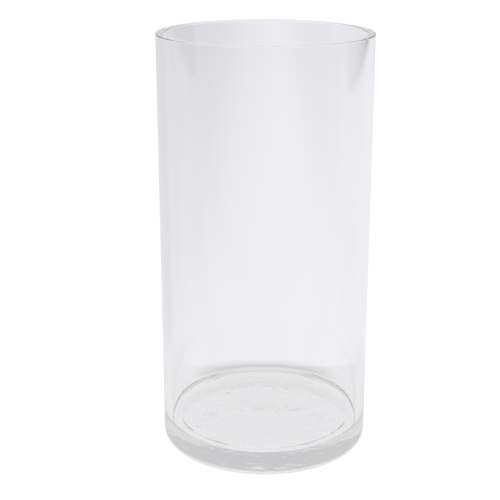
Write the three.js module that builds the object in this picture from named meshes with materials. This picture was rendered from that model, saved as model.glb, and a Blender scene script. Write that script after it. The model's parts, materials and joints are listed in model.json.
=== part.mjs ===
// A clear glass cylinder vase: one continuous body of glass, open at the top.
//
// Millimetres, +Z up. The origin is the centre of the foot, on the surface that the vase stands on.
// The body is one outline turned round the vertical axis. The outline starts on the axis under the
// foot, goes out and up the outside, over the rim, down the inside and back to the axis on the floor.

import * as THREE from "three";

// Driving dimensions
const OUTER_DIAMETER = 100;
const HEIGHT = 200;
const WALL_THICKNESS = 4; // even all the way up
const FLOOR_HEIGHT = 13.5; // from the table to the floor inside: a thick, heavy base

// Edges and corners
const HEEL_RADIUS = 4.5; // outside, where the wall rounds into the foot
const INSIDE_CORNER_RADIUS = 2; // inside, where the wall rounds into the floor
const RIM_EDGE_RADIUS = 0.5; // the rim is cut square, and its two edges are ground and polished

// The foot stands on a flat ring round a shallow hollow, so that it can't rock
const HOLLOW_DIAMETER = 80;
const HOLLOW_DEPTH = 0.5;

// Faceting
const SEGMENTS_ROUND = 96;
const STEPS_PER_ARC = 3; // three.js doubles this for a circular arc

// The half outline: x is the distance from the axis, y is the height
function bodyOutline() {
  const outerRadius = OUTER_DIAMETER / 2;
  const innerRadius = outerRadius - WALL_THICKNESS;
  const hollowRadius = HOLLOW_DIAMETER / 2;
  const rightAngle = Math.PI / 2;

  // The hollow is a cap of a large sphere whose centre lies below the foot
  const capRadius = (hollowRadius ** 2 + HOLLOW_DEPTH ** 2) / (2 * HOLLOW_DEPTH);
  const capCentre = HOLLOW_DEPTH - capRadius;
  const capEdgeAngle = Math.acos(hollowRadius / capRadius);

  const outline = new THREE.Path();

  // Under the foot: the hollow, the flat ring and the heel
  outline.absarc(0, capCentre, capRadius, rightAngle, capEdgeAngle, true);
  outline.lineTo(outerRadius - HEEL_RADIUS, 0);
  outline.absarc(outerRadius - HEEL_RADIUS, HEEL_RADIUS, HEEL_RADIUS, -rightAngle, 0, false);

  // Up the outside and over the rim
  const edge = RIM_EDGE_RADIUS;
  outline.lineTo(outerRadius, HEIGHT - edge);
  outline.absarc(outerRadius - edge, HEIGHT - edge, edge, 0, rightAngle, false);
  outline.lineTo(innerRadius + edge, HEIGHT);
  outline.absarc(innerRadius + edge, HEIGHT - edge, edge, rightAngle, 2 * rightAngle, false);

  // Down the inside, round the corner and along the floor to the axis
  const corner = INSIDE_CORNER_RADIUS;
  outline.lineTo(innerRadius, FLOOR_HEIGHT + corner);
  outline.absarc(innerRadius - corner, FLOOR_HEIGHT + corner, corner, 0, -rightAngle, true);
  outline.lineTo(0, FLOOR_HEIGHT);

  return outline.getPoints(STEPS_PER_ARC);
}

// Clear glass with a faint cool tint
function clearGlass() {
  return new THREE.MeshStandardMaterial({
    color: 0xe9e8ee,
    roughness: 0.02,
    metalness: 0,
    transparent: true,
    opacity: 0.35,
  });
}

// The lathe turns the outline round three.js's Y axis, so it is stood up along Z afterwards
function vaseBody() {
  const geometry = new THREE.LatheGeometry(bodyOutline(), SEGMENTS_ROUND);
  geometry.rotateX(Math.PI / 2);
  const mesh = new THREE.Mesh(geometry, clearGlass());
  mesh.name = "vase_body";
  return mesh;
}

const vase = new THREE.Group();
vase.add(vaseBody());

export default vase;
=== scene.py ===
import json
import math

import bpy
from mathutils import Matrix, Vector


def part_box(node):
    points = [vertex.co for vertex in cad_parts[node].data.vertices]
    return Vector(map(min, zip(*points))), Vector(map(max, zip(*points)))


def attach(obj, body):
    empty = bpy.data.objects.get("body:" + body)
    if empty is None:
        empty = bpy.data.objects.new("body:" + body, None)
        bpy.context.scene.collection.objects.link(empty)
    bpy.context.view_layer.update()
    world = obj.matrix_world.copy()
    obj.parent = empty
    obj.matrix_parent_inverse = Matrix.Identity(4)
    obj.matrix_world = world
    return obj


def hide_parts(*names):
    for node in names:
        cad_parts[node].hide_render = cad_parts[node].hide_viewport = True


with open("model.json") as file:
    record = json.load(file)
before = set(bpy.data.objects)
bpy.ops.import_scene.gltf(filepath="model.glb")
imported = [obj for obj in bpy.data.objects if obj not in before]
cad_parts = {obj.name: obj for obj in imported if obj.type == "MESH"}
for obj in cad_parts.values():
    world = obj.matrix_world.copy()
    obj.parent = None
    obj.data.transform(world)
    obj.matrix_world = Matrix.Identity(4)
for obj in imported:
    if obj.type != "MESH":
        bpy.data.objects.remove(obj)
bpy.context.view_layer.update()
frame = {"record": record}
scene = bpy.context.scene

# The view ------------------------------------------------------------------------------------
# The vase is seen from a little over half a metre away and above its rim, through a short
# telephoto lens, so that the rim shows as a thin ellipse and the foot as a rounder one.
body_low, body_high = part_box("vase_body")
outer_radius = (body_high.x - body_low.x) / 2
height = body_high.z - body_low.z

camera_distance = 10.596 * outer_radius
camera_height = 5.3285 * outer_radius
camera_pitch = 0.3117
camera_yaw = 0.0133

camera_data = bpy.data.cameras.new("camera")
camera_data.sensor_width = 36
camera_data.lens = 83.1
camera_data.clip_start = 0.01
camera = bpy.data.objects.new("camera", camera_data)
camera.location = (0, -camera_distance, camera_height)
camera.rotation_euler = (math.pi / 2 - camera_pitch, 0, camera_yaw)
scene.collection.objects.link(camera)
scene.camera = camera

# The vase body -------------------------------------------------------------------------------
# One piece of clear soda-lime glass, blown into a cold mould that was turned as it set. The rim
# was cut off square and its edges were polished; the thick base kept the ripples of the mould.
floor_mount = next(m for m in frame["record"]["mounts"] if m["name"] == "inside_floor")
floor_height = floor_mount["pos_m"][2]
wall = 0.004
heel_radius = 0.0045
inside_corner_radius = 0.0013
rim_edge_radius = 0.0005
hollow_radius = 0.04
hollow_depth = 0.0001

# A fine raised ring on the floor inside, in a zone of short steps that runs in from the corner
ridge_radius = 0.0412
ridge_width = 0.0006
ridge_height = 0.0002
ridge_zone = 0.006

# The ripples die away towards the edge of the hollow, and the floor's slope dies away up the wall
ripple_fade = 0.006
ripple_stretch = 2.0
slope_fade = 0.04

# Beside each arc a straight side has a point this close, which keeps the arc's shading off it
arc_guard = 0.0001
same_point = 1e-6


def straight(start, end, steps):
    """Points from start to just before end, with one more beside each end."""
    guard = arc_guard / math.dist(start, end)
    shares = [0, guard] + [i / steps for i in range(1, steps)] + [1 - guard]
    return [(start[0] + (end[0] - start[0]) * s, start[1] + (end[1] - start[1]) * s) for s in shares]


def arc(centre, radius, first, last, steps):
    """Points on a circular arc, angles in degrees, to just before its last point."""
    turned = [math.radians(first + (last - first) * i / steps) for i in range(steps)]
    return [(centre[0] + radius * math.cos(a), centre[1] + radius * math.sin(a)) for a in turned]


def ridged(start_radius, end_radius, steps):
    """Points inwards along the floor inside, lifted by the fine ring."""
    radii = [start_radius + (end_radius - start_radius) * i / steps for i in range(steps)]
    lifts = [ridge_height * math.exp(-((r - ridge_radius) / ridge_width) ** 2) for r in radii]
    return [(r, floor_height + lift) for r, lift in zip(radii, lifts)]


def vase_outline():
    """Half of the section, from the axis under the foot round to the axis on the floor inside."""
    inner_radius = outer_radius - wall
    shoulder = height - rim_edge_radius
    outer_edge = outer_radius - rim_edge_radius
    inner_edge = inner_radius + rim_edge_radius
    corner = (inner_radius - inside_corner_radius, floor_height + inside_corner_radius)
    flat_start = corner[0] - ridge_zone
    cap_radius = (hollow_radius ** 2 + hollow_depth ** 2) / (2 * hollow_depth)
    cap_edge = math.degrees(math.acos(hollow_radius / cap_radius))
    return [
        *arc((0, hollow_depth - cap_radius), cap_radius, 90, cap_edge, steps=48),
        *straight((hollow_radius, 0), (outer_radius - heel_radius, 0), steps=6),
        *arc((outer_radius - heel_radius, heel_radius), heel_radius, -90, 0, steps=12),
        *straight((outer_radius, heel_radius), (outer_radius, shoulder), steps=48),
        *arc((outer_edge, shoulder), rim_edge_radius, 0, 90, steps=5),
        *straight((outer_edge, height), (inner_edge, height), steps=4),
        *arc((inner_edge, shoulder), rim_edge_radius, 90, 180, steps=5),
        *straight((inner_radius, shoulder), (inner_radius, corner[1]), steps=80),
        *arc(corner, inside_corner_radius, 0, -90, steps=12),
        *ridged(corner[0], flat_start, steps=40),
        *straight((flat_start, floor_height), (0, floor_height), steps=40),
        (0, floor_height),
    ]


outline = vase_outline()
outline_mesh = bpy.data.meshes.new("vase_outline")
outline_mesh.from_pydata([(r, 0, z) for r, z in outline], [(i, i + 1) for i in range(len(outline) - 1)], [])
ripple_share = outline_mesh.attributes.new("ripple_share", "FLOAT", "POINT")
slope_share = outline_mesh.attributes.new("slope_share", "FLOAT", "POINT")
rim_index = max(range(len(outline)), key=lambda i: outline[i][1])
for i, (r, z) in enumerate(outline):
    on_base = r < hollow_radius and z < floor_height + same_point
    ripple_share.data[i].value = min(1, (hollow_radius - r) / ripple_fade) if on_base else 0
    above_corner = z - floor_height - inside_corner_radius
    slope_share.data[i].value = min(1, max(0, 1 - above_corner / slope_fade)) if i > rim_index else 0


def add_node(tree, kind, links=None, **settings):
    """Adds a node to a tree, sets its properties, and links or sets its inputs by name or number."""
    made = tree.nodes.new(kind)
    for key, value in settings.items():
        setattr(made, key, value)
    for key, value in (links or {}).items():
        if isinstance(value, bpy.types.NodeSocket):
            tree.links.new(value, made.inputs[key])
        else:
            made.inputs[key].default_value = value
    return made


def maths(tree, operation, first, second=0.0):
    return add_node(tree, "ShaderNodeMath", {0: first, 1: second}, operation=operation).outputs[0]


def fade(tree, value, between, levels, shape="LINEAR"):
    """Goes from the first level to the second, and no further, as the value crosses between two places."""
    inputs = {"Value": value, "From Min": between[0], "From Max": between[1],
              "To Min": levels[0], "To Max": levels[1]}
    return add_node(tree, "ShaderNodeMapRange", inputs, interpolation_type=shape).outputs[0]


# The tree turns the outline round the axis. Its grid has a column for each side and a row for
# each outline point, and every grid point moves to its outline point, turned by its column.
turning = bpy.data.node_groups.new("turned_glass", "GeometryNodeTree")
turning.interface.new_socket("Outline", in_out="INPUT", socket_type="NodeSocketGeometry")
for socket_name, socket_type in (("Sides", "NodeSocketInt"), ("Floor Slope", "NodeSocketFloat"),
                                 ("Ripple Depth", "NodeSocketFloat"), ("Ripple Size", "NodeSocketFloat"),
                                 ("Seed", "NodeSocketFloat"), ("Glass", "NodeSocketMaterial")):
    turning.interface.new_socket(socket_name, in_out="INPUT", socket_type=socket_type)
turning.interface.new_socket("Body", in_out="OUTPUT", socket_type="NodeSocketGeometry")

given = add_node(turning, "NodeGroupInput").outputs
outline_size = add_node(turning, "GeometryNodeAttributeDomainSize", {"Geometry": given["Outline"]})
rows = outline_size.outputs["Point Count"]
columns = maths(turning, "ADD", given["Sides"], 1.0)
grid = add_node(turning, "GeometryNodeMeshGrid", {"Vertices X": columns, "Vertices Y": rows})
index = add_node(turning, "GeometryNodeInputIndex").outputs[0]
side = maths(turning, "FLOOR", maths(turning, "DIVIDE", maths(turning, "ADD", index, 0.5), rows))
step = maths(turning, "SUBTRACT", index, maths(turning, "MULTIPLY", side, rows))


def at_step(value, data_type):
    """What the outline holds at this grid point's step."""
    return add_node(turning, "GeometryNodeSampleIndex",
                    {"Geometry": given["Outline"], "Value": value, "Index": step},
                    data_type=data_type).outputs[0]


def share_at_step(name):
    share = add_node(turning, "GeometryNodeInputNamedAttribute", {"Name": name}, data_type="FLOAT")
    return at_step(share.outputs[0], "FLOAT")


position = add_node(turning, "GeometryNodeInputPosition").outputs[0]
section = add_node(turning, "ShaderNodeSeparateXYZ", {0: at_step(position, "FLOAT_VECTOR")}).outputs
angle = maths(turning, "DIVIDE", maths(turning, "MULTIPLY", side, math.tau), given["Sides"])
east = maths(turning, "MULTIPLY", section["X"], maths(turning, "COSINE", angle))
north = maths(turning, "MULTIPLY", section["X"], maths(turning, "SINE", angle))

# The ripples are drawn out from front to back, and the whole floor inside rises to the back
drawn_out = maths(turning, "DIVIDE", north, ripple_stretch)
ripple_place = add_node(turning, "ShaderNodeCombineXYZ", {"X": east, "Y": drawn_out, "Z": given["Seed"]})
ripple_scale = maths(turning, "DIVIDE", 1.0, given["Ripple Size"])
noise = add_node(turning, "ShaderNodeTexNoise",
                 {"Vector": ripple_place.outputs[0], "Scale": ripple_scale,
                  "Detail": 2.5, "Roughness": 0.5, "Distortion": 0.6}).outputs[0]
unevenness = maths(turning, "MULTIPLY", maths(turning, "SUBTRACT", noise, 0.5), given["Ripple Depth"])
ripple = maths(turning, "MULTIPLY", unevenness, share_at_step("ripple_share"))
full_slope = maths(turning, "MULTIPLY", north, given["Floor Slope"])
slope = maths(turning, "MULTIPLY", full_slope, share_at_step("slope_share"))
shaped = maths(turning, "ADD", maths(turning, "ADD", section["Z"], ripple), slope)
above_table = maths(turning, "MAXIMUM", shaped, 0.0)

turned = add_node(turning, "ShaderNodeCombineXYZ", {"X": east, "Y": north, "Z": above_table}).outputs[0]
placed = add_node(turning, "GeometryNodeSetPosition",
                  {"Geometry": grid.outputs["Mesh"], "Position": turned})
closed = add_node(turning, "GeometryNodeMergeByDistance",
                  {"Geometry": placed.outputs[0], "Distance": same_point})
smooth = add_node(turning, "GeometryNodeSetShadeSmooth", {"Geometry": closed.outputs[0]})
real = add_node(turning, "GeometryNodeRealizeInstances", {"Geometry": smooth.outputs[0]})
finished = add_node(turning, "GeometryNodeSetMaterial",
                    {"Geometry": real.outputs[0], "Material": given["Glass"]})
add_node(turning, "NodeGroupOutput", {"Body": finished.outputs[0]})

# The glass is clear, a very faint grey in its depth, and scuffed where it stands
scuffed_up_to = 0.0004
clear_from = 0.0012
scuff_roughness = 0.08
glass = bpy.data.materials.new("clear_glass")
glass.use_nodes = True
shader = glass.node_tree.nodes["Principled BSDF"]
shader.inputs["Base Color"].default_value = (1, 1, 1, 1)
shader.inputs["IOR"].default_value = 1.52
shader.inputs["Transmission Weight"].default_value = 1.0
glass_place = add_node(glass.node_tree, "ShaderNodeTexCoord").outputs["Object"]
above_foot = add_node(glass.node_tree, "ShaderNodeSeparateXYZ", {0: glass_place}).outputs["Z"]
scuff = fade(glass.node_tree, above_foot, (scuffed_up_to, clear_from), (scuff_roughness, 0.0))
glass.node_tree.links.new(scuff, shader.inputs["Roughness"])
depth_tint = add_node(glass.node_tree, "ShaderNodeVolumeAbsorption",
                      {"Color": (0.9, 0.9, 0.898, 1), "Density": 10})
glass.node_tree.links.new(depth_tint.outputs[0], glass.node_tree.nodes["Material Output"].inputs["Volume"])

vase = bpy.data.objects.new("vase", outline_mesh)
scene.collection.objects.link(vase)
modifier = vase.modifiers.new("turned_glass", "NODES")
modifier.node_group = turning
sockets = {s.name: s.identifier for s in turning.interface.items_tree if s.in_out == "INPUT"}
modifier[sockets["Sides"]] = 320
modifier[sockets["Floor Slope"]] = 0.037
modifier[sockets["Ripple Depth"]] = 0.0003
modifier[sockets["Ripple Size"]] = 0.005
modifier[sockets["Seed"]] = 0.37
modifier[sockets["Glass"]] = glass
evaluated = vase.evaluated_get(bpy.context.evaluated_depsgraph_get())
vase_mesh = bpy.data.meshes.new_from_object(evaluated)
vase.modifiers.clear()
vase.data = vase_mesh
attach(vase, "root")
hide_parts("vase_body")

# The floor and the light ---------------------------------------------------------------------
# A pale board in front of a paper sweep. The camera sees both as plain white, and rays through or
# off the glass see them glow in uneven pale greys of their own, with a soft shade behind the foot
# in place of a shadow. Nothing lights them, so the vase casts no shadow on them.
plain_white = 1.05
floor_reach = 4.0
floor_gap = 0.0002


def white_to_camera(tree, surface, kind, output):
    """Shows plain white to the camera, and the surface to every ray that comes through or off the glass."""
    clean = add_node(tree, kind, {"Color": (1, 1, 1, 1), "Strength": plain_white})
    seen_by = add_node(tree, "ShaderNodeLightPath").outputs["Is Camera Ray"]
    mixed = add_node(tree, "ShaderNodeMixShader", {0: seen_by, 1: surface, 2: clean.outputs[0]})
    tree.links.new(mixed.outputs[0], tree.nodes[output].inputs["Surface"])


floor_data = bpy.data.meshes.new("floor")
floor_corners = [(-floor_reach, -floor_reach, 0), (floor_reach, -floor_reach, 0),
                 (floor_reach, floor_reach, 0), (-floor_reach, floor_reach, 0)]
floor_data.from_pydata(floor_corners, [], [(0, 1, 2, 3)])
floor = bpy.data.objects.new("floor", floor_data)
floor.location.z = -floor_gap
scene.collection.objects.link(floor)
pale = bpy.data.materials.new("pale_floor")
pale.use_nodes = True
paper = pale.node_tree
paper.nodes.remove(paper.nodes["Principled BSDF"])
place = add_node(paper, "ShaderNodeTexCoord").outputs["Object"]
spot = add_node(paper, "ShaderNodeSeparateXYZ", {0: place}).outputs

# The sweep's glow is painted light: lightest round one place, a little darker far off and to the
# sides, and painted dark beyond a metre to the right. Each fade has the two places it runs between
# and the level it ends at.
sweep_tint = (1.0, 0.985, 1.035, 1)
sweep_light = 0.92
painted_light_centre = (0.35, 0.1, 0)
far_fade, far_light = (0.4, 1.5), 0.86
beside_fade, beside_light = (0.03, 0.1), 0.95
left_fade, left_light = (0.02, -0.17), 0.88
right_fade, right_light = (0.98, 1.06), 0.4
far_off = add_node(paper, "ShaderNodeVectorMath", {0: place, 1: painted_light_centre}, operation="DISTANCE")
sweep = fade(paper, far_off.outputs["Value"], far_fade, (sweep_light, far_light))
aside = maths(paper, "ABSOLUTE", spot["X"])
beside = fade(paper, aside, beside_fade, (1.0, beside_light), "SMOOTHSTEP")
leftward = fade(paper, spot["X"], left_fade, (1.0, left_light))
rightward = fade(paper, spot["X"], right_fade, (1.0, right_light))
sideways = maths(paper, "MULTIPLY", beside, maths(paper, "MULTIPLY", rightward, leftward))
painted_sweep_glow = maths(paper, "MULTIPLY", sweep, sideways)

# The board's glow is even, with painted shade darkening it towards the front, and it ends in a
# straight edge behind the vase
board_tint = (1.0, 0.99, 1.015, 1)
board_light = 0.83
front_fade, front_light = (-0.12, -0.05), 0.75
board_edge = 0.083
edge_softness = 0.001
edge_fade = (board_edge - edge_softness, board_edge + edge_softness)
past_edge = fade(paper, spot["Y"], edge_fade, (0.0, 1.0))
board = fade(paper, spot["Y"], front_fade, (board_light * front_light, board_light))
level = add_node(paper, "ShaderNodeMix", {0: past_edge, 2: board, 3: painted_sweep_glow}).outputs[0]

# A painted shadow behind the thick foot: a soft ellipse of painted shade, wider than it is deep
shade_place = (0, 0.072, 0)
shade_scale = (20, 48, 0)
shade_fade, shade_light = (0.5, 1.1), 0.76
from_shade = add_node(paper, "ShaderNodeVectorMath", {0: place, 1: shade_place}, operation="SUBTRACT")
scaled = add_node(paper, "ShaderNodeVectorMath", {0: from_shade.outputs[0], 1: shade_scale},
                  operation="MULTIPLY")
off_shade = add_node(paper, "ShaderNodeVectorMath", {0: scaled.outputs[0]}, operation="LENGTH")
shade = fade(paper, off_shade.outputs["Value"], shade_fade, (shade_light, 1.0), "SMOOTHSTEP")
# The painted shade darkens the floor's painted glow
painted_shadow_glow = maths(paper, "MULTIPLY", level, shade)
tint = add_node(paper, "ShaderNodeMix", {0: past_edge, 6: board_tint, 7: sweep_tint}, data_type="RGBA")
# The floor's painted light: an emission in the board's and sweep's tints at the painted levels, lit by no
# lamp
painted_floor_glow = add_node(paper, "ShaderNodeEmission", {"Color": tint.outputs[2], "Strength": painted_shadow_glow})
white_to_camera(paper, painted_floor_glow.outputs[0], "ShaderNodeEmission", "Material Output")
floor_data.materials.append(pale)

# The room is light all round, greyer at the height of the walls and towards the front
room_tones = ((0.0, 0.95), (0.06, 0.97), (0.12, 1.0), (0.17, 1.0),
              (0.25, 0.78), (0.5, 0.78), (0.7, 0.88), (1.0, 1.1))
room_front_fade, room_front_light = (0.0, -0.3), 0.75
world = bpy.data.worlds.new("studio")
scene.world = world
world.use_nodes = True
room = world.node_tree
direction = add_node(room, "ShaderNodeTexCoord").outputs["Generated"]
aim = add_node(room, "ShaderNodeSeparateXYZ", {0: direction}).outputs
ramp = add_node(room, "ShaderNodeValToRGB", {0: aim["Z"]})
stops = ramp.color_ramp.elements
for upward, grey in room_tones[1:-1]:
    stops.new(upward)
for stop, (upward, grey) in zip(stops, room_tones):
    stop.color = (grey, grey, grey, 1)
to_front = fade(room, aim["Y"], room_front_fade, (1.0, room_front_light))
studio = room.nodes["Background"]
room.links.new(ramp.outputs[0], studio.inputs["Color"])
room.links.new(to_front, studio.inputs["Strength"])
white_to_camera(room, studio.outputs[0], "ShaderNodeBackground", "World Output")

# Light is passed on inside the wall many times before it leaves the glass
passes_in_glass = 160
scene.view_settings.view_transform = "Standard"
scene.cycles.max_bounces = passes_in_glass
scene.cycles.transmission_bounces = passes_in_glass
scene.cycles.glossy_bounces = passes_in_glass
scene.cycles.blur_glossy = 0
